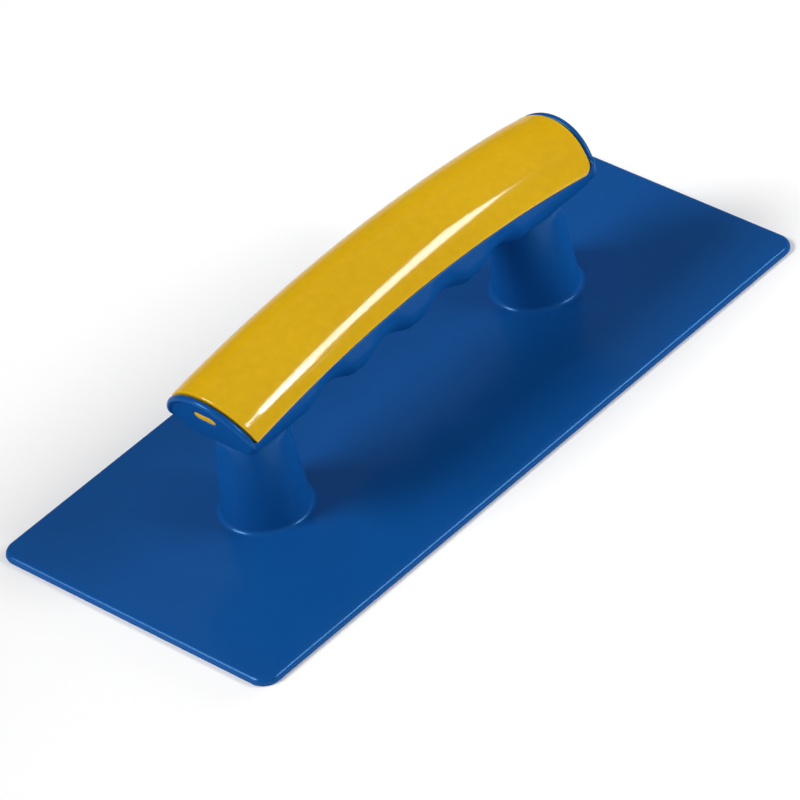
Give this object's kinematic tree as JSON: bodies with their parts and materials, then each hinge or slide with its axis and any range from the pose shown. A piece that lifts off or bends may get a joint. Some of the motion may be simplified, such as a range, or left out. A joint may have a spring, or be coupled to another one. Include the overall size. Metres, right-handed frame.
{
  "type": "plastic smoothing trowel",
  "caption": "Smooth plastic hand trowel: a flat moulded plate with tapered posts, and a bowed grip with finger grooves and a snap-in cover, for spreading and smoothing plaster, render or grout.",
  "frame": {"origin": "middle of the plate's working face, which lies on the ground", "axes": "+X along the plate and the grip, +Y across the plate, +Z from the working face up to the grip"},
  "size_m": [0.28, 0.126, 0.0717],
  "materials": {
    "blue_plastic": "glossy moulded blue",
    "yellow_plastic": "glossy moulded yellow",
    "zinc_steel": "bright zinc plate"
  },
  "bodies": {
    "root": {"base_plate": "blue_plastic", "handle_body": "blue_plastic", "grip_cover": "yellow_plastic", "handle_screws": "zinc_steel"}
  },
  "joints": []
}
